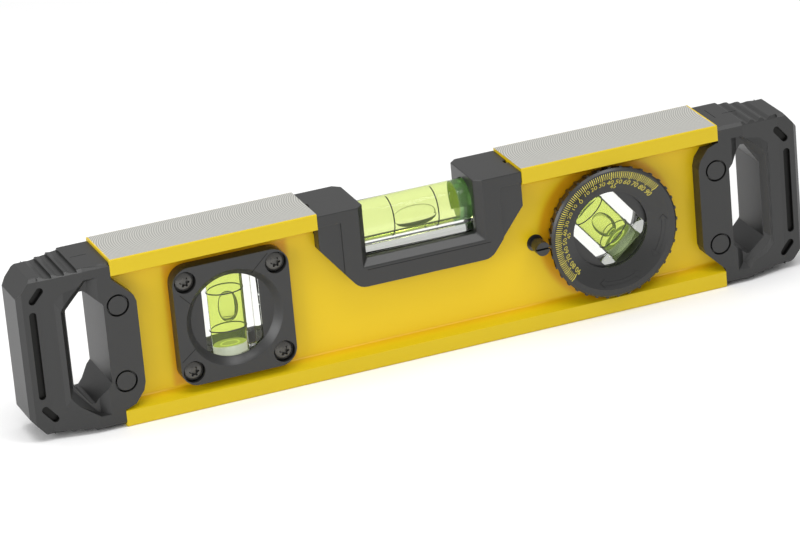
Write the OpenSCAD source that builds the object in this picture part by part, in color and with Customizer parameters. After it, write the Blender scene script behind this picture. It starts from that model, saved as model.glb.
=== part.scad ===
// Pocket spirit level with three vials: a metal beam, two end caps with hand holes,
// a centre vial in an open housing, a plumb vial in a square frame and a turning angle dial.
// X runs along the beam, Y through it (front at minus Y), Z up from the lower working face.

/* [Beam] */
// length of the metal beam
beam_l = 196; // [170:1:220]
// height between the two working faces
beam_h = 53.3; // [50:0.1:60]
// width of the working faces
beam_w = 22; // [20:0.5:26]
// thickness of a flange at its front edge
flange_t = 5; // [4:0.1:6]
// depth of the web behind the flange edges
web_recess = 5; // [4:0.1:6]
// how far the inner flange face climbs towards the web
flange_rise = 1.9; // [0.5:0.1:2.5]
// radius in the root between web and flange
root_r = 1; // [0.5:0.1:1.5]
// rounding of the outer flange edges
edge_r = 0.5; // [0.2:0.1:1]

/* [End caps] */
// length of an end cap beyond the beam
cap_len = 28.3; // [24:0.1:34]
// how far the plastic parts stay below the working faces
cap_drop = 0.9; // [0.5:0.1:2]
// half depth of the outer grip
grip_y = 8.2; // [7.5:0.1:8.4]
// half depth at the floor of the well round the hand hole
well_y = 8.6; // [8:0.1:9.5]
// width of the hand hole
hole_w = 11.1; // [9:0.1:12]
// reach of the tabs over the web
tab_reach = 7; // [5:0.1:9]
// spread of the two rivets from mid height
rivet_z = 12.1; // [9:0.1:14]
// radius of a rivet shank
rivet_r = 1.6; // [1:0.1:2]
// radius of a rivet head
rivet_head_r = 2.9; // [2.4:0.1:3.2]
// gap round a rivet head
rivet_gap = 0.6; // [0.3:0.05:0.8]
// depth of the grip slots
slot_d = 1.2; // [0.5:0.1:2]
// height of the ratchet steps
step_h = 0.85; // [0.4:0.05:1.2]
// how much lower the outer end of a cap lies behind the ratchets
end_drop = 1; // [0.6:0.1:1.5]
// bevel along the upper and lower edges
cap_bevel = 0.95; // [0.5:0.05:1.5]

/* [Centre housing] */
// length of the housing along the beam
housing_l = 65.8; // [60:0.1:72]
// lowest point of the housing plates
housing_z = 26.8; // [24:0.1:30]
// half length of the open notch at the front
notch_x = 20; // [18:0.1:22]
// height of the notch floor at the front
notch_z = 33.1; // [31:0.1:35]
// bevel round the notch
notch_bevel = 2.2; // [1:0.1:3]
// height of the slanted sides of the plates
housing_side = 14.5; // [12:0.1:16]
// length of the slanted sides along the beam
housing_slant = 11.5; // [9:0.1:13]
// radius of the lower corners of the plates
housing_r = 5; // [2:0.5:8]
// depth of the shoulder panels
panel_d = 0.5; // [0.2:0.1:1]

/* [Vials] */
// radius of every vial bore
bore_r = 5.5; // [4:0.1:6]
// wall of the round centre vial
vial_wall = 0.9; // [0.6:0.1:1.2]
// closed end of a vial
vial_end = 2; // [1:0.1:3]
// length of the plug of the centre vial
centre_plug_l = 5.2; // [3:0.1:7]
// length of the plugs of the two block vials
plug_l = 3.2; // [2:0.1:5]

/* [Plumb vial] */
// distance of the plumb vial and of the dial from mid length
side_x = 61.3; // [58:0.1:64]
// width of the frame
frame_w = 36.6; // [36:0.1:38.4]
// gap between the frame and the flanges above and below
frame_gap = 1; // [0.5:0.05:1.5]
// corner radius of the frame
frame_r = 5.4; // [3:0.1:8]
// distance of the frame screws from its middle
screw_at = 14.3; // [13.6:0.1:14.6]
// radius of a screw head
screw_head_r = 2.9; // [2.4:0.1:3]
// gap round a screw head
screw_gap = 0.5; // [0.3:0.05:0.6]
// radius of a screw shank
screw_r = 1.5; // [1:0.1:1.8]
// width of the clear plumb block
plumb_w = 18.2; // [16:0.1:20]
// depth of the clear plumb block
plumb_d = 16; // [14:0.1:17]
// height of the clear plumb block
plumb_l = 28; // [26:0.1:28.6]

/* [Dial] */
// outer radius of the dial without its ribs
dial_r = 20.8; // [20:0.1:20.9]
// how far the dial stands proud of the caps and the frame
dial_proud = 1.5; // [1:0.1:2]
// radius of the dial hub that turns in the beam
hub_r = 14.75; // [14.4:0.05:15.2]
// running clearance of the hub
hub_gap = 0.08; // [0.03:0.01:0.1]
// wall of the bearing ring
bush_wall = 2; // [1.2:0.1:2.4]
// radius of the see-through hole of the dial
dial_hole_r = 12.1; // [11:0.1:12.4]
// outer radius of the dished face
dish_r = 18.4; // [17:0.1:19]
// depth of the dish at the window
dish_depth = 3.3; // [2.5:0.1:3.6]
// number of ribs round the dial
rib_n = 36; // [24:1:48]
// width of the clear dial block
block_w = 18.7; // [16:0.1:19]
// depth of the clear dial block
block_d = 13; // [12.5:0.1:14]
// length of the clear dial block
block_l = 21; // [19:0.1:21.4]
// angle of the dial at rest
dial_rest = 39; // [0:1:90]

/* [Lock screw] */
// radius of the lock screw head
lock_r = 2.2; // [1.8:0.05:2.4]
// length of the lock screw head
lock_head_l = 4; // [3:0.1:5]
// gap between lock screw and dial ribs
lock_gap = 0.3; // [0.3:0.05:0.8]
// radius of the lock screw shank
lock_shank_r = 1.5; // [1:0.1:1.6]

/* [Hidden] */
$fn = 64;

// seat clearance between pieces that do not move
seat = 0.1;
far = 200;
half_l = beam_l / 2;
mid_z = beam_h / 2;
yf = beam_w / 2;
yw = yf - web_recess;
// plastic faces stay a hair behind the flange edges
yp = yf - 0.1;
flange_in = flange_t + flange_rise;
slope = flange_rise / web_recess;
cap_x1 = half_l + cap_len;
cap_top = beam_h - cap_drop;
yellow = [0.9, 0.76, 0.1];
black = [0.2, 0.2, 0.2];
steel = [0.6, 0.6, 0.62];
clear = [0.85, 0.95, 0.85, 0.4];
green = [0.75, 0.88, 0.25, 0.8];

// a front view outline between two depths
module slab(y0, y1) {
  translate([0, y1, 0]) rotate([90, 0, 0]) linear_extrude(height = y1 - y0) children();
}
// an end view outline between two positions along the beam
module bar(x0, x1) {
  translate([x0, 0, 0]) rotate([90, 0, 90]) linear_extrude(height = x1 - x0) children();
}
// a round rod through the depth
module rod(x, z, r, y0, y1) {
  translate([x, y1, z]) rotate([90, 0, 0]) cylinder(r = r, h = y1 - y0);
}
// a rounded rectangle round its middle
module soft_rect(w, h, r) {
  square([w - 2 * r, h], center = true);
  square([w, h - 2 * r], center = true);
  for (sx = [-1, 1]) for (sy = [-1, 1])
    translate([sx * (w / 2 - r), sy * (h / 2 - r)]) circle(r = r);
}
// a slot with round ends between two points
module stadium(x0, z0, x1, z1, r) {
  run = sqrt((x1 - x0) * (x1 - x0) + (z1 - z0) * (z1 - z0));
  translate([x0, z0]) rotate(atan2(z1 - z0, x1 - x0)) {
    translate([0, -r]) square([run, 2 * r]);
    circle(r = r);
    translate([run, 0]) circle(r = r);
  }
}
// both working directions of a shape about mid height
module up_and_down() {
  children();
  translate([0, beam_h]) mirror([0, 1]) children();
}
module both_sides() {
  children();
  mirror([0, 1, 0]) children();
}

// Beam
module root_fillet() {
  k = sqrt(1 + slope * slope);
  cz = flange_in - slope * root_r + root_r * k;
  cy = yw + root_r;
  difference() {
    polygon([[yw - 0.5, flange_in - 0.5], [yw - 0.5, cz], [cy, cz],
      [cy - root_r * slope / k, cz - root_r / k], [yw, flange_in - 0.5]]);
    translate([cy, cz]) circle(r = root_r);
  }
}
module flange_corner() {
  difference() {
    translate([yf - edge_r, -1]) square([edge_r + 1, edge_r + 1]);
    translate([yf - edge_r, edge_r]) circle(r = edge_r);
  }
}
module beam_profile() {
  difference() {
    union() {
      polygon([[-yf, 0], [yf, 0], [yf, flange_t], [yw, flange_in],
        [yw, beam_h - flange_in], [yf, beam_h - flange_t], [yf, beam_h], [-yf, beam_h],
        [-yf, beam_h - flange_t], [-yw, beam_h - flange_in],
        [-yw, flange_in], [-yf, flange_t]]);
      for (m = [0, 1]) mirror([m, 0]) up_and_down() root_fillet();
    }
    for (m = [0, 1]) mirror([m, 0]) up_and_down() flange_corner();
  }
}
tongue_x = half_l + 1.8;
tongue_z = rivet_z + 3.5;
// outline of the housing core that sits in the web, g wider all round
module core_outline(g) {
  hx = housing_l / 2 + g;
  sx = housing_l / 2 - 3 + g;
  sz = beam_h - flange_in - 0.9 - g;
  polygon([[-hx, far], [-hx, sz], [-sx, sz], [-sx, sz - 3.2], [-notch_x - 1.6 - g, core_z - g],
    [notch_x + 1.6 + g, core_z - g], [sx, sz - 3.2], [sx, sz], [hx, sz], [hx, far]]);
}
core_z = notch_z - 2.8;
rivet_x = half_l - 1.2;
rib_d = 0.45;
rib_w = 0.9;
lock_x = side_x - dial_r - rib_d - lock_gap - lock_r;
module beam() {
  color(yellow) difference() {
    union() {
      bar(-half_l, half_l) beam_profile();
      translate([-tongue_x, -yw, mid_z - tongue_z]) cube([2 * tongue_x, 2 * yw, 2 * tongue_z]);
    }
    slab(-far, far) core_outline(seat);
    for (sx = [-1, 1]) for (sz = [-1, 1])
      rod(sx * rivet_x, mid_z + sz * rivet_z, rivet_r + seat, -far, far);
    translate([-side_x, 0, mid_z])
      cube([plumb_w + 2 * seat, far, plumb_l + 2 * seat], center = true);
    for (sx = [-1, 1]) for (sz = [-1, 1])
      rod(-side_x + sx * screw_at, mid_z + sz * screw_at, screw_r + 0.3, -far, far);
    rod(side_x, mid_z, hub_r + hub_gap + bush_wall + seat, -far, far);
    rod(lock_x, mid_z, lock_shank_r + 1.1 + seat, -yw - 1, insert_y);
  }
}
insert_y = -yw + 8;

// End caps: one moulding with sharp ratchets on one long edge and round ones on the other.
// It is drawn for the right end from the middle of the beam's end, and turned for the left.
cap_h = cap_top - mid_z;
taper_x0 = 8.5;
taper_x1 = 21.5;
end_bevel = 1.5;
corner_l = 4.6;
corner_h = 5.6;
sharp_x = 9.8;
sharp_run = 3.7;
round_x = 8.9;
round_run = 3.55;
step_fall = end_drop / 3;
module at_cap() { translate([half_l, 0, mid_z]) children(); }
function mix(a, b, k) = a + (b - a) * k;
function sharp_steps() = [for (i = [0 : 2]) for (p = [[0, 0], [0, -step_h], [1.9, -step_h],
  [sharp_run - 0.4, -step_fall]]) [sharp_x + i * sharp_run + p[0], cap_h - i * step_fall + p[1]]];
function round_steps() = [for (i = [0 : 2]) for (p = [[0, 0], [0.4, -0.15],
  [1, -step_h], [1.8, -step_h], [round_run - 1, -step_fall - 0.15],
  [round_run - 0.6, -step_fall]])
  [round_x + i * round_run + p[0], cap_h - i * step_fall + p[1]]];
module half_outline(steps) {
  polygon(concat([[0, -1], [0, cap_h]], steps, [[cap_len - corner_l, cap_h - end_drop],
    [cap_len, cap_h - end_drop - corner_h], [cap_len, -1]]));
}
module cap_plan() {
  for (m = [0, 1]) mirror([0, m]) polygon([[0, -1], [0, yp], [taper_x0, yp], [taper_x1, grip_y],
    [cap_len - end_bevel, grip_y], [cap_len, grip_y - end_bevel], [cap_len, -1]]);
}
// the room left of the cap between web, flanges and front face
module recess_profile() {
  c = 0.7;
  polygon([[yw + seat, flange_in + c], [yp, flange_t + c + 0.05],
    [yp, beam_h - flange_t - c - 0.05], [yw + seat, beam_h - flange_in - c]]);
}
module tab_outline() {
  polygon([[1, 21.5], [0.3, 21.3], [-0.5 * tab_reach, 19.8], [0.7 - tab_reach, 16.2],
    [-tab_reach, 13.5], [-tab_reach, -12.3], [0.7 - tab_reach, -14.3], [0.9, -21.6],
    [1, -21.6]]);
}
hole_x0 = 3.2;
hole_x1 = hole_x0 + hole_w;
module hole_outline() {
  polygon([[hole_x0, 11.8], [hole_x1 - 6, 17.9], [hole_x1 - 4.8, 17.9], [hole_x1, 10.8],
    [hole_x1, -13.5], [hole_x1 - 4.8, -18.1], [hole_x1 - 6, -18.1], [hole_x0 + 0.3, -13.6],
    [hole_x0, -13]]);
}
// the well round the hand hole, k is 0 at its floor and 1 in the front face
module well_outline(k) {
  x0 = mix(7, 4.4, k);
  x1 = hole_x1 + mix(0.3, 2.3, k);
  corner = mix(12.3, 14.2, k);
  polygon([[x0, mix(21.2, 21.5, k)], [mix(7.4, 7.6, k), mix(21.2, 21.5, k)], [x1, corner],
    [x1, -corner], [mix(7.4, 8.4, k), -mix(20.8, 22.2, k)], [x0, -mix(20.8, 22.2, k)]]);
}
// the raised rim outside the well
module rim_outline(k) {
  x1 = hole_x1 + mix(3.7, 1.1, k);
  corner = mix(17.4, 13.2, k);
  tip = mix(24, 20.6, k);
  polygon([[8, tip], [mix(14, 8.7, k), tip], [x1, corner], [x1, -corner],
    [mix(14, 8.7, k), -tip], [8, -tip]]);
}
function well_depth(k) = -mix(well_y, yp, k);
over = 1.3;
module cap_well() {
  hull() {
    slab(well_depth(over), well_depth(over) + 0.01) well_outline(over);
    slab(well_depth(0) - 0.01, well_depth(0)) well_outline(0);
  }
}
module cap_rim() {
  hull() {
    slab(well_depth(1), well_depth(1) + 0.01) rim_outline(1);
    slab(well_depth(0), well_depth(0) + 0.01) rim_outline(0);
  }
}
slot_r = 1.1;
slot_x = cap_len - 4.3;
module cap_slots() {
  slab(-far, -grip_y + slot_d) {
    stadium(slot_x, -13.5, slot_x, 12.1, slot_r);
    stadium(slot_x - 0.4, 16.6, slot_x - 3.1, 19.9, slot_r);
    stadium(slot_x - 0.4, -18, slot_x - 2.8, -20.7, slot_r);
  }
}
// bevel along the upper front edge: straight, along the taper and straight again
module edge_cut(x, y, z, run, turn, fall) {
  s = cap_bevel * sqrt(2);
  translate([x, -y, z]) rotate([0, fall, turn]) rotate([45, 0, 0])
    translate([0, -s / 2, -s / 2]) cube([run, s, s]);
}
module cap_edges() {
  taper_l = taper_x1 - taper_x0;
  turn = atan2(yp - grip_y, taper_l);
  edge_cut(-1, yp, cap_h, taper_x0 + 1, 0, 0);
  edge_cut(taper_x0, yp, cap_h, taper_l / cos(turn), turn, atan2(end_drop, taper_l));
  edge_cut(taper_x1, grip_y, cap_h - end_drop, cap_len, 0, 0);
}
module cap() {
  at_cap() difference() {
    union() {
      intersection() {
        slab(-yf, yf) {
          half_outline(round_steps());
          mirror([0, 1]) half_outline(sharp_steps());
        }
        translate([0, 0, -mid_z]) linear_extrude(height = far) cap_plan();
      }
      both_sides() cap_rim();
      intersection() {
        slab(-yf, yf) tab_outline();
        translate([0, 0, -mid_z]) both_sides() bar(-20, 1) recess_profile();
      }
    }
    slab(-far, far) hole_outline();
    both_sides() cap_well();
    both_sides() cap_slots();
    for (m = [0, 1]) mirror([0, 0, m]) both_sides() cap_edges();
    // pocket for the tongue of the web
    translate([-half_l, -yw - seat, -tongue_z - seat])
      cube([tongue_x + seat, 2 * (yw + seat), 2 * (tongue_z + seat)]);
    for (sz = [-1, 1]) {
      rod(rivet_x - half_l, sz * rivet_z, rivet_r + seat, -far, far);
      both_sides() rod(rivet_x - half_l, sz * rivet_z, rivet_head_r + rivet_gap, -far, rivet_seat);
    }
  }
}
rivet_seat = -yp + 1.4;
module right_end_cap() { color(black) cap(); }
module left_end_cap() {
  color(black) translate([0, 0, beam_h]) rotate([0, 180, 0]) cap();
}
module rivet(x, z) {
  color(black) {
    rod(x, z, rivet_r, rivet_seat - 0.5, -rivet_seat + 0.5);
    both_sides() rod(x, z, rivet_head_r, -yp + 0.1, rivet_seat);
  }
}
module left_upper_rivet() { rivet(-rivet_x, mid_z + rivet_z); }
module left_lower_rivet() { rivet(-rivet_x, mid_z - rivet_z); }
module right_upper_rivet() { rivet(rivet_x, mid_z + rivet_z); }
module right_lower_rivet() { rivet(rivet_x, mid_z - rivet_z); }

// Centre housing and its vial
tube_r = bore_r + vial_wall;
floor_z = notch_z + notch_bevel;
vial_z = floor_z + 1.9 + tube_r;
vial_x = notch_x - notch_bevel + 1.8;
// one half of a plate: square above, slanted below, with a round lower corner
module half_plate() {
  hx = housing_l / 2;
  turn = atan2(housing_side, housing_slant);
  arc_x = hx - housing_slant - housing_r * tan(turn / 2);
  arc = [for (i = [0 : 4]) [arc_x + housing_r * sin(i * turn / 4),
    housing_z + housing_r * (1 - cos(i * turn / 4))]];
  polygon(concat([[-1, cap_top], [-1, housing_z]], arc,
    [[hx, housing_z + housing_side], [hx, cap_top]]));
}
module plate_outline() {
  for (m = [0, 1]) mirror([m, 0]) half_plate();
}
module vial_end_view(g) {
  translate([0, vial_z]) circle(r = tube_r + g);
  translate([-tube_r - g, floor_z - g]) square([2 * (tube_r + g), vial_z - floor_z + g]);
}
module centre_housing() {
  b = notch_bevel;
  color(black) difference() {
    union() {
      intersection() {
        slab(-yw - 0.5, yw + 0.5) core_outline(0);
        translate([-far / 2, -yw - seat, 0]) cube([far, 2 * (yw + seat), cap_top]);
      }
      both_sides() slab(-yp, -yw - seat) plate_outline();
    }
    // the open notch with its bevelled front and back edges
    intersection() {
      linear_extrude(height = far) polygon([[-notch_x - b, -yp - b], [notch_x + b, -yp - b],
        [notch_x - b, -yp + b], [notch_x - b, yp - b], [notch_x + b, yp + b],
        [-notch_x - b, yp + b], [-notch_x + b, yp - b], [-notch_x + b, -yp + b]]);
      bar(-far, far) polygon([[-yp - b, far], [-yp - b, notch_z - b], [-yp + b, floor_z],
        [yp - b, floor_z], [yp + b, notch_z - b], [yp + b, far]]);
    }
    bar(-vial_x - seat, vial_x + seat) vial_end_view(seat);
    // shallow panels on the shoulders
    for (sx = [-1, 1]) both_sides()
      translate([sx * (housing_l / 2 - 3.5), -yp, housing_z + 10])
        cube([7.4, 2 * panel_d, 24], center = true);
    // small marks where the rails meet the housing
    for (sx = [-1, 1])
      translate([sx * housing_l / 2, 0, cap_top]) cube([2.4, 2.2, 2.4], center = true);
  }
}
module centre_vial() {
  color(clear) difference() {
    bar(-vial_x, vial_x) vial_end_view(0);
    translate([-vial_x + vial_end, 0, vial_z]) rotate([0, 90, 0])
      cylinder(r = bore_r, h = far);
  }
}
fluid_r = bore_r - 0.05;
module centre_fluid() {
  color(green) translate([-vial_x + vial_end + 0.05, 0, vial_z]) rotate([0, 90, 0])
    cylinder(r = fluid_r, h = 2 * vial_x - vial_end - centre_plug_l - 0.1);
}
module centre_plug() {
  color(green) translate([vial_x - centre_plug_l, 0, vial_z]) rotate([0, 90, 0])
    cylinder(r = fluid_r, h = centre_plug_l);
}

// Block vials, drawn upright round their middle with the open end below
module block_body(w, d, l) {
  color(clear) difference() {
    cube([w, d, l], center = true);
    translate([0, 0, -l / 2 - 1]) cylinder(r = bore_r, h = l - vial_end + 1);
  }
}
module block_fluid(l) {
  color(green) translate([0, 0, -l / 2 + plug_l + 0.05])
    cylinder(r = fluid_r, h = l - vial_end - plug_l - 0.1);
}
module block_plug(l) {
  color(clear) translate([0, 0, -l / 2]) cylinder(r = fluid_r, h = plug_l);
}

// Plumb vial in its square frame
frame_y = yp - 0.3;
frame_h = beam_h - 2 * (flange_in + frame_gap);
window_r = plumb_l / 2 - 1;
window_lip = 0.15;
frame_dish = 2.2;
module at_plumb() { translate([-side_x, 0, mid_z]) children(); }
module frame_plate() {
  difference() {
    slab(-frame_y, -yw - seat) soft_rect(frame_w, frame_h, frame_r);
    // window: a round hole with two flat sides
    slab(-far, 0) intersection() {
      circle(r = window_r);
      square([plumb_w - 2 * window_lip, far], center = true);
    }
    // dished recess round the window
    translate([0, -frame_y - 0.01, 0]) rotate([-90, 0, 0])
      cylinder(r1 = window_r + frame_dish, r2 = window_r + 0.05, h = frame_dish);
    // seat of the clear block
    cube([plumb_w + 2 * seat, plumb_d + 2 * seat, plumb_l + 2 * seat], center = true);
  }
}
module plumb_frame_front() {
  color(black) at_plumb() difference() {
    frame_plate();
    for (sx = [-1, 1]) for (sz = [-1, 1]) {
      rod(sx * screw_at, sz * screw_at, screw_r + 0.3, -far, 0);
      rod(sx * screw_at, sz * screw_at, screw_head_r + screw_gap, -far, -frame_y + 2.1);
    }
  }
}
module plumb_frame_back() {
  color(black) at_plumb() difference() {
    mirror([0, 1, 0]) frame_plate();
    for (sx = [-1, 1]) for (sz = [-1, 1])
      rod(sx * screw_at, sz * screw_at, screw_r + seat, 0, frame_y - 1.2);
  }
}
module plumb_vial() { at_plumb() block_body(plumb_w, plumb_d, plumb_l); }
module plumb_fluid() { at_plumb() block_fluid(plumb_l); }
module plumb_plug() { at_plumb() block_plug(plumb_l); }
module plumb_screw(sx, sz) {
  color(black) at_plumb() translate([sx * screw_at, 0, sz * screw_at]) difference() {
    union() {
      rod(0, 0, screw_r, -frame_y + 1, frame_y - 1.5);
      intersection() {
        rod(0, 0, screw_head_r, -frame_y, -frame_y + 2.1);
        translate([0, -frame_y + 0.15 + 2 * screw_head_r, 0]) sphere(r = 2 * screw_head_r);
      }
    }
    // six lobed driver recess
    slab(-far, -frame_y + 1.3) {
      circle(r = 1.1);
      for (a = [0 : 60 : 300]) rotate(a) translate([1.25, 0]) circle(r = 0.34);
    }
  }
}
module plumb_screw_1() { plumb_screw(-1, 1); }
module plumb_screw_2() { plumb_screw(1, 1); }
module plumb_screw_3() { plumb_screw(-1, -1); }
module plumb_screw_4() { plumb_screw(1, -1); }

// Dial, drawn round its axis with local z towards the front
module at_dial() { translate([side_x, 0, mid_z]) rotate([90, 0, 0]) children(); }
web_gap = 0.3;
yd = yp + dial_proud;
window_step = 1.1;
// height of the middle of the dish's sphere above the dial face
dish_up = (dish_r * dish_r - dial_hole_r * dial_hole_r - dish_depth * dish_depth)
  / (2 * dish_depth);
dial_back_r = dial_r - 1.8;
module dial_half() {
  z0 = yw + web_gap;
  difference() {
    union() {
      rotate_extrude() polygon([[0, 0.05], [hub_r, 0.05], [hub_r, z0], [dial_back_r, z0],
        [dial_r, yd - 0.6], [dial_r - 0.6, yd], [0, yd]]);
      for (i = [0 : rib_n - 1]) rotate(i * 360 / rib_n) rotate([90, 0, 0])
        linear_extrude(height = rib_w, center = true)
          polygon([[dial_back_r - 1, z0], [dial_back_r + rib_d, z0],
            [dial_r + rib_d, yd - 0.7], [dial_r - 0.9, yd - 0.3]]);
    }
    // round dish, and the flats beside the window a step below its inner edge
    translate([0, 0, yd + dish_up])
      sphere(r = sqrt(dish_r * dish_r + dish_up * dish_up), $fn = 128);
    translate([0, 0, yd - dish_depth - window_step])
      cylinder(r = dial_hole_r + 0.15, h = far);
    rotate(dial_rest) linear_extrude(height = far) intersection() {
      circle(r = dial_hole_r);
      square([block_w - 0.6, far], center = true);
    }
    rotate(dial_rest)
      cube([block_w + 2 * seat, block_l + 2 * seat, block_d + 2 * seat], center = true);
    rotate(dial_rest) for (sx = [-1, 1])
      translate([sx * dowel_at, 0, 0]) cylinder(r = 1 + seat / 2, h = 4 + seat);
  }
}
dowel_at = (block_w / 2 + hub_r) / 2;
module dial_front() { color(black) at_dial() dial_half(); }
module dial_back() {
  color(black) at_dial() mirror([0, 0, 1]) dial_half();
}
module dial_bush() {
  color(steel) at_dial() difference() {
    cylinder(r = hub_r + hub_gap + bush_wall, h = 2 * yw, center = true);
    cylinder(r = hub_r + hub_gap, h = far, center = true);
  }
}
module dowel(s) {
  color(steel) at_dial() rotate(dial_rest) translate([s * dowel_at, 0, 0])
    cylinder(r = 1, h = 8, center = true);
}
module dial_dowel_upper() { dowel(1); }
module dial_dowel_lower() { dowel(-1); }
module dial_place() {
  translate([side_x, 0, mid_z]) rotate([0, -dial_rest, 0]) children();
}
module dial_vial() { dial_place() block_body(block_w, block_d, block_l); }
module dial_fluid() { dial_place() block_fluid(block_l); }
module dial_plug() { dial_place() block_plug(block_l); }

// Lock screw beside the dial
lock_y = -yd + 0.1;
module lock_insert() {
  color(steel) difference() {
    rod(lock_x, mid_z, lock_shank_r + 1.1, -yw, insert_y);
    rod(lock_x, mid_z, lock_shank_r + 0.07, -far, far);
  }
}
module lock_screw() {
  color(black) difference() {
    union() {
      rod(lock_x, mid_z, lock_r, lock_y, lock_y + lock_head_l);
      rod(lock_x, mid_z, lock_shank_r, lock_y + lock_head_l - 0.1, insert_y - 0.5);
    }
    // slot for a coin
    translate([lock_x, lock_y, mid_z]) cube([far, 2, 0.6], center = true);
  }
}

beam();
left_end_cap();
right_end_cap();
left_upper_rivet();
left_lower_rivet();
right_upper_rivet();
right_lower_rivet();
centre_housing();
centre_vial();
centre_fluid();
centre_plug();
plumb_frame_front();
plumb_frame_back();
plumb_vial();
plumb_fluid();
plumb_plug();
plumb_screw_1();
plumb_screw_2();
plumb_screw_3();
plumb_screw_4();
dial_front();
dial_back();
dial_bush();
dial_dowel_upper();
dial_dowel_lower();
dial_vial();
dial_fluid();
dial_plug();
lock_insert();
lock_screw();
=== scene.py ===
import math

import bmesh
import bpy
from mathutils import Matrix, Vector


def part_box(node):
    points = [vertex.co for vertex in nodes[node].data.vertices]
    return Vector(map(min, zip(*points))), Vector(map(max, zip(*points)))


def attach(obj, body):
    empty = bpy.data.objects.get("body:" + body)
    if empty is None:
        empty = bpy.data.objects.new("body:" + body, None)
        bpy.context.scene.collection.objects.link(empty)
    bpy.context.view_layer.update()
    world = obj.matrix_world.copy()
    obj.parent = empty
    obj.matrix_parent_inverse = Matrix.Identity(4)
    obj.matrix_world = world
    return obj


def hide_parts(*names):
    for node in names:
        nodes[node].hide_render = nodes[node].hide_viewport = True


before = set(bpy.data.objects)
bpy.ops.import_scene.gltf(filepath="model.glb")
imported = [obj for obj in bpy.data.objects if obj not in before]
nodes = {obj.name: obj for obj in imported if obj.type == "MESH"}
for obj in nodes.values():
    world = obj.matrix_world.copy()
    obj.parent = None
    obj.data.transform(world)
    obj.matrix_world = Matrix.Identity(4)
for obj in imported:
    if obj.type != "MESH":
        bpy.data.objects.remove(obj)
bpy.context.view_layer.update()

MM = 0.001


# Sizes, in millimetres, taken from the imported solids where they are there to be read
def low(node):
    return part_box(node)[0] / MM


def high(node):
    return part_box(node)[1] / MM


def middle(node):
    return (low(node) + high(node)) / 2


def half_length(node):
    return (high(node).x - low(node).x) / 2


# The beam. Its rivets stand 1.2 inside its ends, and its web lies 5 behind the flange edges
BEAM_TOP = high("beam").z
BEAM_FRONT = low("beam").y
RAIL_END = middle("right_upper_rivet").x + 1.2
WEB_RECESS = 5.0

# The caps: the face of the grip band and the reach of its three slots
GRIP_FACE = 8.2
SLOT_START, SLOT_END, SLOT_REACH = 117.3, 123.2, 22.0

# The vials: the same bore in all three, and a clear body with a flat foot for the level
BORE = 5.5
WALL_GAP = 0.03
CLOSED_END = 2.0
LEVEL_RADIUS = 6.4
CENTRE = Vector((0, 0, high("centre_vial").z - LEVEL_RADIUS))
DIAL_BLOCK = (18.7, 13.0, 21.0)
PLUMB = middle("plumb_vial")
FRAME_HALF = half_length("plumb_frame_front")

# The dial: a flat ring round a dish. The dish is part of a ball, centred DISH_UP before the ring
DIAL = middle("dial_bush")
DIAL_REST = 39.0
DIAL_FACE = low("dial_front").y
DIAL_RADIUS = half_length("dial_front")
DISH_RIM = 18.4
WINDOW = 12.1
DISH_DEPTH = 3.3
DISH_UP = (DISH_RIM ** 2 - WINDOW ** 2 - DISH_DEPTH ** 2) / (2 * DISH_DEPTH)

ROUND_STEPS = 72


# Shader values and finishes
class Value:
    """A shader socket. Arithmetic on it adds Math nodes."""

    def __init__(self, finish, socket):
        self.finish = finish
        self.socket = socket

    def math(self, operation, first, second=0.0):
        node = self.finish.node("ShaderNodeMath", {"operation": operation}, {0: first, 1: second})
        return self.finish.value(node, 0)

    def __add__(self, other):
        return self.math("ADD", self, other)

    __radd__ = __add__

    def __sub__(self, other):
        return self.math("SUBTRACT", self, other)

    def __rsub__(self, other):
        return self.math("SUBTRACT", other, self)

    def __mul__(self, other):
        return self.math("MULTIPLY", self, other)

    __rmul__ = __mul__

    def __truediv__(self, other):
        return self.math("DIVIDE", self, other)

    def __rtruediv__(self, other):
        return self.math("DIVIDE", other, self)

    def __gt__(self, other):
        return self.math("GREATER_THAN", self, other)

    def __lt__(self, other):
        return self.math("LESS_THAN", self, other)

    def __abs__(self):
        return self.math("ABSOLUTE", self)

    def root(self):
        return self.math("SQRT", self)

    def fract(self):
        return self.math("FRACT", self)

    def either(self, other):
        return self.math("MAXIMUM", self, other)


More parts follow.
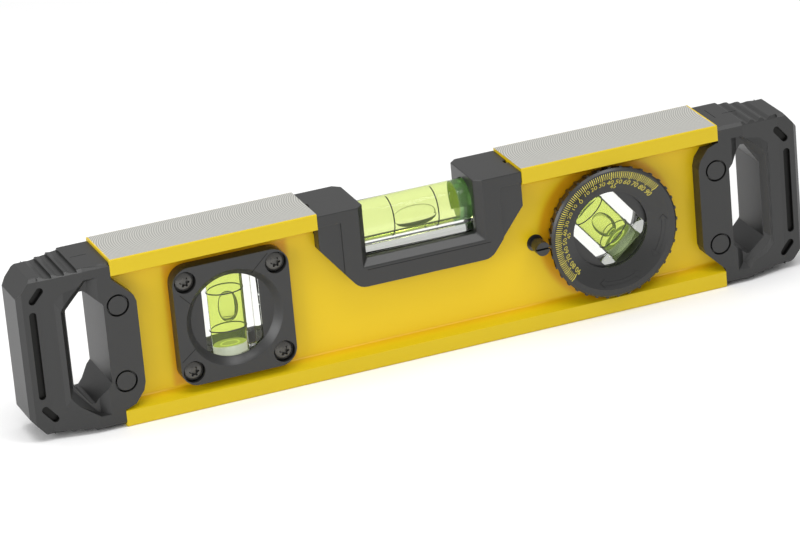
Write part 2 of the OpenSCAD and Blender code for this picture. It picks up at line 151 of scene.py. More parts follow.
class Finish:
    """A material round one Principled shader. Constants go straight on the shader's sockets."""

    grain_depth = 0.03

    def __init__(self, name, **constants):
        self.material = bpy.data.materials.new(name)
        self.material.use_nodes = True
        self.tree = self.material.node_tree
        self.shader = self.tree.nodes["Principled BSDF"]
        for label, constant in constants.items():
            self.set(label.replace("_", " ").title().replace("Ior", "IOR"), constant)

    def set(self, label, value):
        self.plug(value, self.shader.inputs[label])

    def plug(self, value, socket):
        if isinstance(value, Value):
            self.tree.links.new(value.socket, socket)
        else:
            socket.default_value = value

    def node(self, kind, settings, sockets):
        made = self.tree.nodes.new(kind)
        for label, setting in settings.items():
            setattr(made, label, setting)
        for label, value in sockets.items():
            self.plug(value, made.inputs[label])
        return made

    def value(self, node, output):
        return Value(self, node.outputs[output])

    def place(self):
        """The point on the object in millimetres, as one vector."""
        at = self.value(self.node("ShaderNodeTexCoord", {}, {}), "Object")
        scaled = self.node("ShaderNodeVectorMath", {"operation": "SCALE"}, {0: at, "Scale": 1 / MM})
        return self.value(scaled, 0)

    def parts(self, vector):
        """A vector's x, y and z."""
        split = self.node("ShaderNodeSeparateXYZ", {}, {0: vector})
        return [self.value(split, axis) for axis in range(3)]

    def stretched(self, vector, factors):
        scaled = self.node("ShaderNodeVectorMath", {"operation": "MULTIPLY"},
                           {0: vector, 1: factors})
        return self.value(scaled, 0)

    def noise(self, vector, scale, detail=2.0, roughness=0.5):
        node = self.node("ShaderNodeTexNoise", {}, {"Vector": vector, "Scale": scale,
                                                   "Detail": detail, "Roughness": roughness})
        return self.value(node, "Fac")

    def ease(self, value, start, stop):
        """Rises softly from 0 at start to 1 at stop."""
        node = self.node("ShaderNodeMapRange", {"interpolation_type": "SMOOTHSTEP"},
                         {0: value, 1: start, 2: stop})
        return self.value(node, 0)

    def fade(self, value, start, stop):
        """Falls softly from 1 at start to 0 at stop."""
        return 1.0 - self.ease(value, start, stop)

    def blend(self, factor, first, second):
        node = self.node("ShaderNodeMix", {"data_type": "RGBA"}, {0: factor, 6: first, 7: second})
        return self.value(node, 2)

    def bump(self, height, strength):
        node = self.node("ShaderNodeBump", {}, {"Height": height, "Strength": strength,
                                                "Distance": self.grain_depth * MM})
        self.set("Normal", self.value(node, 0))


def rgb(red, green, blue):
    return (red, green, blue, 1.0)


def dimmed(colour, share):
    return rgb(*(part * share for part in colour))


def yellow_coat_and_milled_rails():
    finish = Finish("yellow_coat", specular_ior_level=0.38)
    at = finish.place()
    x, y, z = finish.parts(at)
    # bare milled faces on top and underneath, a hair inside the coated edges
    skin, margin = 0.03, 0.45
    rails = (z > BEAM_TOP - skin).either(z < skin) * (abs(y) < -BEAM_FRONT - margin)
    rails = rails * (abs(x) < RAIL_END - margin)
    # the cutter leaves arcs, one at each step of its feed
    cutter_reach, feed = 16.0, 0.75
    sweep = x + (cutter_reach ** 2 - y * y).root()
    wander = finish.noise(finish.stretched(at, (0.02, 0.05, 0.0)), 6.0)
    lines = finish.noise(finish.stretched(sweep, (1.0, 0.0, 0.0)), 1.2, 3.0, 0.7)
    passes = ((sweep + wander * 0.3) / feed).fract()
    tooth = finish.ease(abs(passes - 0.5), 0.1, 0.5)
    metal = finish.blend(tooth * 0.65 + lines * 0.35,
                         rgb(0.50, 0.495, 0.455), rgb(0.98, 0.975, 0.92))
    cloud = finish.noise(at, 0.05, 3.0)
    coat = finish.blend(cloud, rgb(0.630, 0.455, 0.002), rgb(0.660, 0.485, 0.003))
    # painted light: the web in the recess is painted a lighter yellow than the flanges, lifting it
    # out of the shade that the flanges cast
    flange_edge = 0.8
    web_painted_light = finish.ease(0.0 - abs(y), BEAM_FRONT + flange_edge, BEAM_FRONT + WEB_RECESS)
    coat = finish.blend(web_painted_light, coat, rgb(0.80, 0.550, 0.003))
    # painted shade: the coat is painted a deeper orange in the roots beside the flanges and round
    # what is set in the web, where contact shade falls
    height_off = abs(z - BEAM_TOP / 2)
    root_height, near, reach = 19.85, 0.05, 0.95
    root = finish.ease(height_off, root_height - reach, root_height - near)
    root = root * finish.fade(height_off, root_height + near, root_height + reach)
    along, up = x - DIAL.x, z - DIAL.z
    off_dial = (along * along + up * up).root()
    dial_painted_shade = finish.fade(off_dial, DIAL_RADIUS, DIAL_RADIUS + 2.6)
    off_frame = abs(x - PLUMB.x).either(abs(z - PLUMB.z))
    frame_painted_shade = finish.fade(off_frame, FRAME_HALF, FRAME_HALF + 2.4)
    behind_edge = y > BEAM_FRONT + 0.6
    shade = (root * 0.5).either(dial_painted_shade).either(frame_painted_shade) * behind_edge
    coat = finish.blend(shade * 0.75, coat, rgb(0.66, 0.27, 0.002))
    finish.set("Base Color", finish.blend(rails, coat, metal))
    finish.set("Metallic", rails * 0.9)
    coat_gloss = 0.34 + finish.noise(at, 1.4, 3.0) * 0.08
    finish.set("Roughness", coat_gloss + rails * (tooth * 0.18 - 0.04))
    fine = finish.noise(at, 2.6, 2.0)
    finish.bump(fine * (1.0 - rails) + rails * (tooth + lines) * 1.2, 0.22)
    return finish.material


def cap_slot_shade(finish, at):
    """Painted shade on the floors and walls of the three narrow slots in each cap's grip band: how
    far each point is painted dark.
    """
    x, y, z = finish.parts(at)
    edge = 0.3
    along = finish.ease(abs(x), SLOT_START - edge, SLOT_START)
    along = along * finish.fade(abs(x), SLOT_END, SLOT_END + edge)
    depth = finish.fade(abs(y), GRIP_FACE - 0.9, GRIP_FACE - 0.05)
    return along * depth * (abs(z - BEAM_TOP / 2) < SLOT_REACH) * 0.9


def black_moulding(name, tone, gloss, spark, shade=None):
    finish = Finish(name, specular_ior_level=0.66)
    at = finish.place()
    cloud = finish.noise(at, 0.12, 3.0)
    grain = finish.noise(at, 5.5, 3.0, 0.6)
    deep = rgb(tone * 0.88, tone * 0.90, tone * 0.90)
    pale = rgb(tone * 1.14, tone * 1.16, tone * 1.10)
    colour = finish.blend(cloud * 0.7 + grain * 0.3, deep, pale)
    if shade:
        # painted shade: where the shade mask is set, the moulding is painted near black and made
        # metallic, so that it reflects almost nothing
        unlit = shade(finish, at)
        colour = finish.blend(unlit, colour, rgb(0.020, 0.020, 0.019))
        finish.set("Metallic", unlit)
    finish.set("Base Color", colour)
    finish.set("Roughness", gloss + grain * 0.12)
    finish.bump(grain, spark)
    return finish.material


def black_screw_metal():
    finish = Finish("black_screw_metal", metallic=0.85, specular_ior_level=0.8)
    grain = finish.noise(finish.place(), 3.5, 3.0, 0.6)
    finish.set("Base Color", finish.blend(grain, rgb(0.055, 0.054, 0.050), rgb(0.15, 0.145, 0.135)))
    finish.set("Roughness", 0.22 + grain * 0.16)
    finish.bump(grain, 0.15)
    return finish.material


def turned_steel():
    finish = Finish("turned_steel", metallic=1.0)
    rings = finish.noise(finish.stretched(finish.place(), (0.2, 6.0, 0.2)), 1.5)
    finish.set("Base Color", finish.blend(rings, rgb(0.42, 0.42, 0.43), rgb(0.66, 0.66, 0.67)))
    finish.set("Roughness", 0.25 + rings * 0.15)
    return finish.material


def clear_acrylic(name, bend):
    finish = Finish(name, transmission_weight=1.0, ior=bend, specular_ior_level=0.5)
    haze = finish.noise(finish.place(), 0.4)
    red, green, blue = 0.985, 0.995, 0.97
    tinged = rgb(red * 0.985, green, blue * 0.98)
    finish.set("Base Color", finish.blend(haze, rgb(red, green, blue), tinged))
    finish.set("Roughness", haze * 0.012)
    return finish.material


def vial_liquid(name, bend, tint, glow):
    # painted light: the liquid is given a faint glow of its own, which lifts it inside the clear
    # body
    finish = Finish(name, transmission_weight=1.0, ior=bend, emission_strength=glow)
    finish.set("Emission Color", rgb(0.50, 0.72, 0.10))
    drift = finish.noise(finish.place(), 0.25)
    finish.set("Base Color", finish.blend(drift, rgb(*tint), dimmed(tint, 0.96)))
    finish.set("Roughness", drift * 0.004)
    return finish.material


def plug_finish(name, clear, tint, glow):
    # painted light: the plug is given a glow of its own, in place of the light that its clear
    # plastic gathers and gives off at its ends
    finish = Finish(name, transmission_weight=clear, ior=1.3, emission_strength=glow)
    finish.set("Emission Color", rgb(*tint))
    drift = finish.noise(finish.place(), 0.8)
    finish.set("Base Color", finish.blend(drift, rgb(*tint), dimmed(tint, 0.9)))
    finish.set("Roughness", 0.1 + drift * 0.1)
    return finish.material


def printed(name, colour, gloss):
    finish = Finish(name)
    speck = finish.noise(finish.place(), 4.0)
    worn = finish.ease(speck, 0.35, 0.75)
    finish.set("Base Color", finish.blend(worn, rgb(*colour), dimmed(colour, 0.7)))
    finish.set("Roughness", gloss + speck * 0.1)
    return finish.material


COAT = yellow_coat_and_milled_rails()
CAP_BLACK = black_moulding("cap_black", tone=0.013, gloss=0.36, spark=0.22, shade=cap_slot_shade)
HOUSING_BLACK = black_moulding("housing_black", tone=0.013, gloss=0.32, spark=0.18)
DIAL_BLACK = black_moulding("dial_black", tone=0.012, gloss=0.28, spark=0.16)
RING_BLACK = black_moulding("ring_black", tone=0.011, gloss=0.26, spark=0.10)
SCREW_BLACK = black_screw_metal()
STEEL = turned_steel()
ACRYLIC = clear_acrylic("clear_acrylic", bend=1.49)
WET_WALL = clear_acrylic("wet_bore_wall", bend=1.064)
ROUND_ACRYLIC = clear_acrylic("round_acrylic", bend=1.2)
LIQUID = vial_liquid("vial_liquid", bend=1.0, tint=(0.62, 0.69, 0.15), glow=0.06)
LEVEL_LIQUID = vial_liquid("level_liquid", bend=1.0, tint=(0.80, 0.87, 0.38), glow=0.03)
BUBBLE_SKIN = vial_liquid("bubble_skin", bend=1.16, tint=(1.0, 1.0, 0.96), glow=0.0)
LEVEL_BUBBLE_SKIN = vial_liquid("level_bubble_skin", bend=1.09, tint=(1.0, 1.0, 0.97), glow=0.0)
# painted light: the plugs glow with the emission set here
PLUG = plug_finish("milky_plug", clear=0.35, tint=(0.86, 0.90, 0.76), glow=0.24)
DIAL_PLUG = plug_finish("dial_plug", clear=0.75, tint=(0.62, 0.74, 0.42), glow=0.05)
GREEN_PLUG = plug_finish("green_plug", clear=0.8, tint=(0.30, 0.56, 0.20), glow=0.05)
# painted highlight: the glowing rim on each plug's inner face
PLUG_HIGHLIGHT_GLOW = plug_finish("plug_highlight_glow", clear=0.1, tint=(0.92, 0.95, 0.86), glow=0.55)
LINE_PRINT = printed("vial_line_print", (0.012, 0.016, 0.006), gloss=0.4)
DIAL_PRINT = printed("dial_print", (0.95, 0.82, 0.10), gloss=0.5)
NUMBER_PRINT = printed("number_print", (0.70, 0.60, 0.08), gloss=0.5)
# painted shade: a near-black finish for the strips along the mould lines
CREASE_PAINTED_SHADE = printed("crease_shade", (0.003, 0.003, 0.003), gloss=0.85)

FINISHES = (
    (COAT, ["beam"]),
    (CAP_BLACK, ["left_end_cap", "left_upper_rivet", "left_lower_rivet",
                 "right_end_cap", "right_upper_rivet", "right_lower_rivet"]),
    (HOUSING_BLACK, ["centre_housing", "plumb_frame_front", "plumb_frame_back", "lock_screw"]),
    (DIAL_BLACK, ["dial_front", "dial_back"]),
    (RING_BLACK, ["dial_bush"]),
    # painted shade: the steel lock insert is dressed in the black screw metal, for the dark beside
    # the lock screw's knob
    (SCREW_BLACK, ["lock_insert", "plumb_screw_1", "plumb_screw_2", "plumb_screw_3",
                   "plumb_screw_4"]),
    (STEEL, ["dial_dowel_upper", "dial_dowel_lower"]),
    (GREEN_PLUG, ["centre_plug"]),
    (PLUG, ["plumb_plug"]),
    (DIAL_PLUG, ["dial_plug"]),
)


def dress(node, material):
    for slot in nodes[node].material_slots:
        slot.material = material


def soften_edges(node, width):
    """Breaks the sharp edges of a moulding so that they catch light."""
    piece = nodes[node]
    weld = piece.modifiers.new("weld", "WELD")
    weld.merge_threshold = 0.0005 * MM
    flat = piece.modifiers.new("join_flats", "DECIMATE")
    flat.decimate_type = "DISSOLVE"
    flat.angle_limit = math.radians(0.4)
    edge = piece.modifiers.new("edge", "BEVEL")
    edge.width = width * MM
    edge.segments = 2
    edge.limit_method = "ANGLE"
    edge.angle_limit = math.radians(30)
    edge.harden_normals = False
    edge.use_clamp_overlap = True
    edge.miter_outer = "MITER_ARC"


# Meshes
def finished_piece(name, mesh_builder, materials, body):
    mesh = bpy.data.meshes.new(name)
    mesh_builder.normal_update()
    mesh_builder.to_mesh(mesh)
    mesh_builder.free()
    mesh.transform(Matrix.Scale(MM, 4))
    for material in materials:
        mesh.materials.append(material)
    piece = bpy.data.objects.new(name, mesh)
    bpy.context.scene.collection.objects.link(piece)
    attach(piece, body)
    return piece


def smooth_round(mesh_builder, angle=35):
    """Smooth shading, with creases only where two faces meet at more than the angle."""
    limit = math.radians(angle)
    for face in mesh_builder.faces:
        face.smooth = True
    for edge in mesh_builder.edges:
        if len(edge.link_faces) == 2 and edge.calc_face_angle(0) > limit:
            edge.smooth = False


def prism(mesh_builder, outline, start, stop, across, up, along):
    """A closed prism of a flat outline of (across, up) points between two places along it."""
    across, up, along = Vector(across), Vector(up), Vector(along)
    first, last = ([mesh_builder.verts.new(across * u + up * v + along * reach)
                    for u, v in outline] for reach in (start, stop))
    faces = [mesh_builder.faces.new(first[::-1]), mesh_builder.faces.new(last)]
    count = len(outline)
    for i in range(count):
        j = (i + 1) % count
        faces.append(mesh_builder.faces.new((first[i], first[j], last[j], last[i])))
    bmesh.ops.recalc_face_normals(mesh_builder, faces=faces)


def arc_points(radius, start, stop, steps):
    turns = [math.radians(start + (stop - start) * i / steps) for i in range(steps + 1)]
    return [(radius * math.cos(turn), radius * math.sin(turn)) for turn in turns]


def turned_section(mesh_builder, section, turn):
    """The points of a (radius, height) section, turned round the z axis by an angle."""
    return [mesh_builder.verts.new((r * math.cos(turn), r * math.sin(turn), h))
            for r, h in section]


def lathe(mesh_builder, profile, inward=False):
    """Turns (radius, height) points round the z axis. The profile starts and ends on the axis."""
    columns = [turned_section(mesh_builder, profile[1:-1], 2 * math.pi * i / ROUND_STEPS)
               for i in range(ROUND_STEPS)]
    first = mesh_builder.verts.new((0, 0, profile[0][1]))
    last = mesh_builder.verts.new((0, 0, profile[-1][1]))
    faces = []
    for i in range(ROUND_STEPS):
        here, beside = columns[i], columns[(i + 1) % ROUND_STEPS]
        for k in range(len(here) - 1):
            faces.append(mesh_builder.faces.new((here[k], beside[k], beside[k + 1], here[k + 1])))
        faces.append(mesh_builder.faces.new((first, beside[0], here[0])))
        faces.append(mesh_builder.faces.new((last, here[-1], beside[-1])))
    bmesh.ops.recalc_face_normals(mesh_builder, faces=faces)
    if inward:
        bmesh.ops.reverse_faces(mesh_builder, faces=faces)
    return faces


def barrel_profile(radius, bottom, top):
    """A round bar's half section with softened ends."""
    edge = 0.5
    corner = [(edge * math.sin(turn), edge * math.cos(turn))
              for turn in (math.radians(30), math.radians(60))]
    profile = [(0.0, bottom), (radius - edge, bottom)]
    profile += [(radius - edge + sine, bottom + edge - cosine) for sine, cosine in corner]
    profile += [(radius, bottom + edge), (radius, top - edge)]
    profile += [(radius - edge + cosine, top - edge + sine) for sine, cosine in corner]
    profile += [(radius - edge, top), (0.0, top)]
    return profile


def bubble_faces(mesh_builder, radius, length, at_height, pressed):
    """The air bubble: a long drop pressed against one side of the bore, a cavity in the liquid."""
    half, rows, columns = length / 2, 20, 32
    wide, deep, bluntness = radius * 0.58, radius * 0.50, 0.8
    off_wall, film = 0.12, 0.1
    towards = Vector(pressed).normalized()
    side = towards.cross(Vector((0, 0, 1))).normalized()
    centre = towards * (radius - deep - off_wall) + Vector((0, 0, at_height))
    rings = []
    for row in range(1, rows):
        polar = math.pi * row / rows
        size = math.sin(polar) ** bluntness
        height = half * math.cos(polar)
        ring = []
        for column in range(columns):
            turn = 2 * math.pi * column / columns
            across, out = wide * size * math.cos(turn), deep * size * math.sin(turn)
            spot = centre + side * across + towards * out + Vector((0, 0, height))
            flat = Vector((spot.x, spot.y, 0))
            if flat.length > radius - film:
                flat = flat.normalized() * (radius - film)
            ring.append(mesh_builder.verts.new((flat.x, flat.y, spot.z)))
        rings.append(ring)
    top = mesh_builder.verts.new(centre + Vector((0, 0, half)))
    bottom = mesh_builder.verts.new(centre - Vector((0, 0, half)))
    faces = []
    for first, second in zip(rings, rings[1:]):
        for i in range(columns):
            j = (i + 1) % columns
            faces.append(mesh_builder.faces.new((first[i], first[j], second[j], second[i])))
    for i in range(columns):
        j = (i + 1) % columns
        faces.append(mesh_builder.faces.new((top, rings[0][j], rings[0][i])))
        faces.append(mesh_builder.faces.new((bottom, rings[-1][i], rings[-1][j])))
    bmesh.ops.recalc_face_normals(mesh_builder, faces=faces)
    bmesh.ops.reverse_faces(mesh_builder, faces=faces)
    return faces


def band_faces(mesh_builder, section, start=0.0, stop=360.0):
    """Turns a closed (radius, height) section round the z axis, all the way or part of it."""
    whole = stop - start == 360.0
    rings = [turned_section(mesh_builder, section,
                            math.radians(start + (stop - start) * i / ROUND_STEPS))
             for i in range(ROUND_STEPS if whole else ROUND_STEPS + 1)]
    count = len(section)
    for i in range(ROUND_STEPS):
        here, beside = rings[i], rings[(i + 1) % len(rings)]
        for k in range(count):
            n = (k + 1) % count
            mesh_builder.faces.new((here[k], beside[k], beside[n], here[n]))
    if not whole:
        mesh_builder.faces.new(rings[0])
        mesh_builder.faces.new(rings[-1][::-1])
    bmesh.ops.recalc_face_normals(mesh_builder, faces=mesh_builder.faces)
    smooth_round(mesh_builder)


class Vial:
    """One vial, drawn upright round its middle with the plug below, then set in place."""

    def __init__(self, name, node_start, body, place, length, plug, bubble, lines,
                 pressed=(0, -1, 0), wet=(LIQUID, BUBBLE_SKIN), line_turn=(0, 360), domed=False):
        self.name = name
        self.node_start = node_start
        self.body = body
        self.place = place
        self.top = length / 2 - CLOSED_END
        self.end = -length / 2
        self.bottom = self.end + plug
        self.wet_from = self.bottom + 0.1
        self.bubble = bubble
        self.lines = lines
        self.pressed = pressed
        self.wet = wet
        self.line_turn = line_turn
        self.domed = domed

    def set_down(self, mesh_builder, name, materials):
        bmesh.ops.transform(mesh_builder, matrix=self.place, verts=mesh_builder.verts)
        return finished_piece(name, mesh_builder, materials, self.body)

    def on_dome(self, face):
        """Whether a face is on the round top of a domed body, outside its bore."""
        spot = face.calc_center_median()
        upright = face.normal.z ** 2 < 0.5
        return self.domed and upright and spot.x > 0.2 and spot.xy.length > BORE + 0.5

    def shell(self, outer_faces):
        """The clear body: its outside with softened edges, and its bore as a cavity."""
        mesh_builder = bmesh.new()
        outer_faces(mesh_builder)
        edges = [e for e in mesh_builder.edges if e.calc_face_angle(0) > math.radians(40)]
        bmesh.ops.bevel(mesh_builder, geom=edges, offset=0.35, segments=3, affect="EDGES",
                        profile=0.5)
        end_wall = 0.15
        bore_profile = barrel_profile(BORE, self.end + end_wall, self.top)
        bore = lathe(mesh_builder, bore_profile, inward=True)
        for face in mesh_builder.faces:
            face.material_index = 2 if self.on_dome(face) else 0
        for face in bore:
            face.material_index = 1 if face.calc_center_median().z > self.wet_from else 0
        smooth_round(mesh_builder, 24)
        piece = self.set_down(mesh_builder, self.name + "_clear_body",
                              [ACRYLIC, WET_WALL, ROUND_ACRYLIC])
        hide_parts(self.node_start + "_vial")

    def liquid(self):
        mesh_builder = bmesh.new()
        radius = BORE - WALL_GAP
        lathe(mesh_builder, barrel_profile(radius, self.wet_from, self.top - WALL_GAP))
        spot, long = self.bubble
        for face in bubble_faces(mesh_builder, radius, long, spot, self.pressed):
            face.material_index = 1
        smooth_round(mesh_builder)
        piece = self.set_down(mesh_builder, self.name + "_liquid", self.wet)
        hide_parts(self.node_start + "_fluid")

    def ring_lines(self):
        inner, outer, half = BORE + 0.02, BORE + 0.10, 0.19
        for count, height in enumerate(self.lines, 1):
            mesh_builder = bmesh.new()
            section = [(inner, height - half), (outer, height - half),
                       (outer, height + half), (inner, height + half)]
            band_faces(mesh_builder, section, *self.line_turn)
            piece = self.set_down(mesh_builder, f"{self.name}_line_{count}", [LINE_PRINT])

    def plug_highlight_rim(self):
        """A raised rim on the plug's inner face that glows brightly: a painted highlight for the
        light ring at the plug's face and the liquid's edge.
        """
        mesh_builder = bmesh.new()
        inner, outer, slant = 2.5, 3.3, 0.1
        foot, top = self.bottom - 0.1, self.bottom + 0.07
        band_faces(mesh_builder, [(inner, foot), (outer, foot),
                                  (outer - slant, top), (inner + slant, top)])
        piece = self.set_down(mesh_builder, self.name + "_plug_rim", [PLUG_HIGHLIGHT_GLOW])


def block(width, depth, length):
    def outer_faces(mesh_builder):
        made = bmesh.ops.create_cube(mesh_builder, size=1.0)
        bmesh.ops.scale(mesh_builder, vec=(width, depth, length), verts=made["verts"])
    return outer_faces


def arch(radius, foot, reach):
    """The level vial's outside: a round top on a flat foot, seen from its end."""
    def outer_faces(mesh_builder):
        outline = [(-foot, radius), *reversed(arc_points(radius, -90, 90, 40)), (-foot, -radius)]
        prism(mesh_builder, outline, -reach, reach,
              across=(1, 0, 0), up=(0, 1, 0), along=(0, 0, 1))
    return outer_faces


def make_vials():
    """Each bubble is given by its middle's height and its length, and each line by its height."""
    size = high("plumb_vial") - low("plumb_vial")
    plumb = Vial("plumb", "plumb", "body", Matrix.Translation(PLUMB), size.z, plug=3.2,
                 bubble=(1.4, 9.5), lines=(6.15, -5.8))

    turn = Matrix.Translation(DIAL) @ Matrix.Rotation(-math.radians(DIAL_REST), 4, "Y")
    dial = Vial("dial", "dial", "dial", turn, DIAL_BLOCK[2], plug=3.2,
                bubble=(0.0, 9.0), lines=(6.3, -5.3))

    # local z runs along the level towards the left, and local x points up
    reach = high("centre_vial").x
    lay = Matrix.Translation(CENTRE) @ Matrix(((0, 0, -1, 0), (0, 1, 0, 0),
                                               (1, 0, 0, 0), (0, 0, 0, 1)))
    level = Vial("level", "centre", "body", lay, 2 * reach, plug=5.2,
                 bubble=(-0.6, 13.4), lines=(6.9, -7.4), pressed=(-0.3, -1, 0),
                 wet=(LEVEL_LIQUID, LEVEL_BUBBLE_SKIN), line_turn=(175, 365), domed=True)
    foot = CENTRE.z - low("centre_vial").z

    # the level's plug shows only its side, so it has no glowing highlight rim
    for vial, outer_faces in ((plumb, block(*size)), (dial, block(*DIAL_BLOCK)),
                              (level, arch(LEVEL_RADIUS, foot, reach))):
        vial.shell(outer_faces)
        vial.liquid()
        vial.ring_lines()
        if vial is not level:
            vial.plug_highlight_rim()


# What is printed and moulded on the dial's face
def dish_depth(radius):
    """How far the face lies behind its outer ring: a round dish inside a flat ring."""
    if radius >= DISH_RIM:
        return 0.0
    return math.sqrt(DISH_RIM ** 2 + DISH_UP ** 2 - radius ** 2) - DISH_UP


def on_dial(angle, radius, lift):
    """A point over the dial's face: angle in degrees from plus x towards plus z."""
    turn = math.radians(angle)
    return Vector((DIAL.x + radius * math.cos(turn), DIAL_FACE + dish_depth(radius) - lift,
                   DIAL.z + radius * math.sin(turn)))


def relief(mesh_builder, pairs, height, sunk=0.03):
    """A raised strip on the face between pairs of (angle, radius) spots."""
    rows = []
    for near, far in pairs:
        corners = ((near, height), (far, height), (far, -sunk), (near, -sunk))
        rows.append([mesh_builder.verts.new(on_dial(*spot, lift)) for spot, lift in corners])
    faces = [mesh_builder.faces.new(rows[0]), mesh_builder.faces.new(rows[-1][::-1])]
    for here, beyond in zip(rows, rows[1:]):
        for k in range(4):
            n = (k + 1) % 4
            faces.append(mesh_builder.faces.new((here[k], beyond[k], beyond[n], here[n])))
    bmesh.ops.recalc_face_normals(mesh_builder, faces=faces)


def graduations():
    """A line every two degrees from 90 to 90, longer at each ten and longest at zero."""
    mesh_builder = bmesh.new()
    outer, at_two, at_ten, at_zero, height = 19.7, 17.5, 17.1, 16.2, 0.035
    for degrees in range(-90, 91, 2):
        angle = DIAL_REST + 90 + degrees
        ten = degrees % 10 == 0
        inner = at_zero if degrees == 0 else at_ten if ten else at_two
        half = 0.10 if ten else 0.07
        pairs = []
        for radius in (inner, DISH_RIM, outer):
            off = math.degrees(half / radius)
            pairs.append(((angle - off, radius), (angle + off, radius)))
        relief(mesh_builder, pairs, height)
    piece = finished_piece("dial_graduations", mesh_builder, [DIAL_PRINT], "dial")


def flat_number(text, size):
    curve = bpy.data.curves.new("number_outline", "FONT")
    curve.body = text
    curve.size = size
    curve.align_x = "CENTER"
    curve.align_y = "CENTER"
    curve.extrude = 0.03
    curve.resolution_u = 3
    holder = bpy.data.objects.new("number_outline", curve)
    bpy.context.scene.collection.objects.link(holder)
    bpy.context.view_layer.update()
    drawn = holder.evaluated_get(bpy.context.evaluated_depsgraph_get())
    mesh = bpy.data.meshes.new_from_object(drawn)
    bpy.data.objects.remove(holder)
    bpy.data.curves.remove(curve)
    return mesh


def dial_numbers():
    """Degrees both ways from zero, bent to the dish. A label is degrees, radius and size."""
    mesh_builder = bmesh.new()
    labels = [(0, 15.1, 2.7)]
    for side in (-1, 1):
        labels += [(side * ten, 15.9, 2.3) for ten in range(10, 91, 10)]
        labels.append((side * 45, 14.2, 2.0))
    for degrees, middle_radius, size in labels:
        mesh = flat_number(str(abs(degrees)), size)
        before = len(mesh_builder.verts)
        mesh_builder.from_mesh(mesh)
        bpy.data.meshes.remove(mesh)
        mesh_builder.verts.ensure_lookup_table()
        for vertex in mesh_builder.verts[before:]:
            across, up, lift = vertex.co
            radius = middle_radius + up
            angle = DIAL_REST + 90 + degrees - math.degrees(across / radius)
            vertex.co = on_dial(angle, radius, lift + 0.01)
    bmesh.ops.remove_doubles(mesh_builder, verts=mesh_builder.verts, dist=0.0005)
    bmesh.ops.recalc_face_normals(mesh_builder, faces=mesh_builder.faces)
    piece = finished_piece("dial_numbers", mesh_builder, [NUMBER_PRINT], "dial")


def direction_arrows():
    """Two moulded arrows along the dish, with a head at each end."""
    mesh_builder = bmesh.new()
    radius, half_tip, half_body, half_head, head, barb = 16.6, 0.08, 0.45, 1.15, 5.0, 0.4
    for start, stop in ((251.0, 298.0), (320.0, 367.0)):
        body = stop - start - 2 * head
        stations = [(start, half_tip), (start + head, half_head), (start + head + barb, half_body)]
        stations += [(start + head + body * i / 10, half_body) for i in range(1, 10)]
        stations += [(stop - head - barb, half_body), (stop - head, half_head), (stop, half_tip)]
        pairs = [((angle, radius - half), (angle, radius + half)) for angle, half in stations]
        relief(mesh_builder, pairs, height=0.22, sunk=0.1)
    piece = finished_piece("dial_arrows", mesh_builder, [DIAL_BLACK], "dial")


def hairline(name, start, stop, out):
    """A fine dark strip of painted shade between two points of a flat face that looks along out."""
    start, stop, out = Vector(start), Vector(stop), Vector(out)
    length, along = (stop - start).length, (stop - start).normalized()
    half, sunk, lift = 0.11, 0.05, 0.012
    mesh_builder = bmesh.new()
    prism(mesh_builder, [(0, -half), (length, -half), (length, half), (0, half)], -sunk, lift,
          across=along, up=out.cross(along), along=out)
    bmesh.ops.translate(mesh_builder, vec=start, verts=mesh_builder.verts)
    piece = finished_piece(name, mesh_builder, [CREASE_PAINTED_SHADE], "body")


def mould_lines():
    """Fine lines that the tools leave on the plumb frame, the housing and the tops of the caps,
    drawn as dark strips: painted shade for the shade in each line.
    """
    frame_face, housing_face = low("plumb_frame_front").y, low("centre_housing").y
    cap_top = high("left_end_cap").z
    on_frame = (((12.0, 17.9), (6.6, 12.9)),
                ((-13.3, -7.2), (-17.7, -10.6)),
                ((-16.3, 10.6), (-13.0, 7.0)))
    for count, ends in enumerate(on_frame, 1):
        start, stop = ((PLUMB.x + across, frame_face, PLUMB.z + up) for across, up in ends)
        hairline(f"plumb_frame_crease_shade_{count}", start, stop, (0, -1, 0))
    hairline("housing_seam_shade", (-18.6, housing_face, 32.2), (21.5, housing_face, 32.2), (0, -1, 0))
    on_caps = (((-106.5, 0.1), (-101.5, 0.1)),
               ((104.8, 0.0), (109.4, 0.0)),
               ((101.5, 5.7), (101.5, -2.2)))
    for count, ends in enumerate(on_caps, 1):
        start, stop = ((x, y, cap_top) for x, y in ends)
        hairline(f"cap_parting_line_shade_{count}", start, stop, (0, 0, 1))


# Stage, light and camera
def floor():
    mesh_builder = bmesh.new()
    bmesh.ops.create_grid(mesh_builder, x_segments=1, y_segments=1, size=4000)
    mesh = bpy.data.meshes.new("floor")
    mesh_builder.to_mesh(mesh)
    mesh_builder.free()
    mesh.transform(Matrix.Scale(MM, 4))
    finish = Finish("floor_paper", roughness=0.9, specular_ior_level=0.1)
    tone = finish.noise(finish.place(), 0.004)
    finish.set("Base Color", finish.blend(tone, rgb(0.93, 0.93, 0.93), rgb(0.95, 0.95, 0.95)))
    mesh.materials.append(finish.material)
    piece = bpy.data.objects.new("floor", mesh)
    bpy.context.scene.collection.objects.link(piece)


def softbox(name, place, aim, size, power):
    light = bpy.data.lights.new(name, "AREA")
    light.shape = "RECTANGLE"
    light.size, light.size_y = size
    light.energy = power
    lamp = bpy.data.objects.new(name, light)
    bpy.context.scene.collection.objects.link(lamp)
    lamp.location = place
    lamp.rotation_euler = (Vector(aim) - Vector(place)).to_track_quat("-Z", "Y").to_euler()


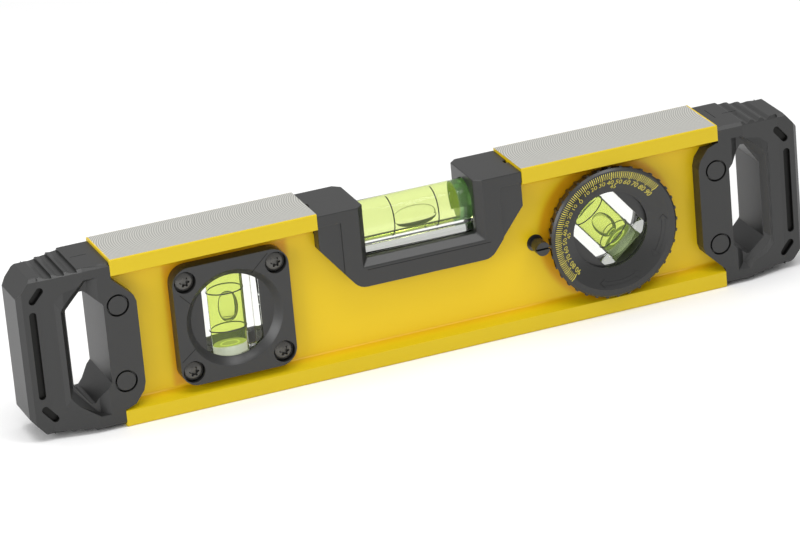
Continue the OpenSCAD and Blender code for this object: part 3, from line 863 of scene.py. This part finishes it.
def lighting():
    scene = bpy.context.scene
    scene.world = bpy.data.worlds.new("studio")
    scene.world.use_nodes = True
    sky = scene.world.node_tree.nodes["Background"]
    sky.inputs["Color"].default_value = rgb(1.0, 1.0, 1.0)
    sky.inputs["Strength"].default_value = 0.60
    softbox("left_softbox", (-0.95, -0.45, 0.35), (0, 0, 0.03), size=(0.6, 0.5), power=4.5)
    softbox("top_softbox", (-0.20, -0.10, 1.05), (0, 0, 0.02), size=(0.7, 0.6), power=5.5)
    softbox("edge_softbox", (0.36, -0.42, 1.00), (0, 0, 0.02), size=(0.35, 0.30), power=2.0)
    scene.view_settings.view_transform = "Standard"
    scene.view_settings.look = "None"


def camera():
    """The photograph's own view. The focal length is in pixels of a frame 800 pixels wide."""
    azimuth, elevation, roll = (math.radians(angle) for angle in (-19.84, 21.89, -5.15))
    distance, focal, frame_width = 1.398, 4620.0, 800.0
    aim = Vector((0, 0, 0.025))
    back = Vector((math.sin(azimuth) * math.cos(elevation),
                   -math.cos(azimuth) * math.cos(elevation), math.sin(elevation)))
    level_right = Vector((math.cos(azimuth), math.sin(azimuth), 0))
    level_up = back.cross(level_right)
    right = math.cos(roll) * level_right + math.sin(roll) * level_up
    up = back.cross(right)
    place = aim + back * distance
    # the photograph is centred a few pixels beside the aim point
    per_pixel, pixels_left, pixels_up = distance / focal, 13.9, 1.0
    centred = aim - right * pixels_left * per_pixel + up * pixels_up * per_pixel
    back = (place - centred).normalized()
    right = (right - back * right.dot(back)).normalized()
    up = back.cross(right)
    data = bpy.data.cameras.new("camera")
    data.sensor_width = 36.0
    data.lens = focal / frame_width * data.sensor_width
    data.clip_end = 20.0
    eye = bpy.data.objects.new("camera", data)
    bpy.context.scene.collection.objects.link(eye)
    eye.matrix_world = Matrix.Translation(place) @ Matrix((right, up, back)).transposed().to_4x4()
    bpy.context.scene.camera = eye


for finish_material, dressed in FINISHES:
    for node_name in dressed:
        dress(node_name, finish_material)
for node_name in ("left_end_cap", "right_end_cap"):
    soften_edges(node_name, width=0.28)
for node_name in ("plumb_frame_front", "plumb_frame_back", "centre_housing"):
    soften_edges(node_name, width=0.22)
make_vials()
graduations()
dial_numbers()
direction_arrows()
mould_lines()
floor()
lighting()
camera()


def corners(bounds):
    return [[float(part) for part in corner] for corner in bounds]
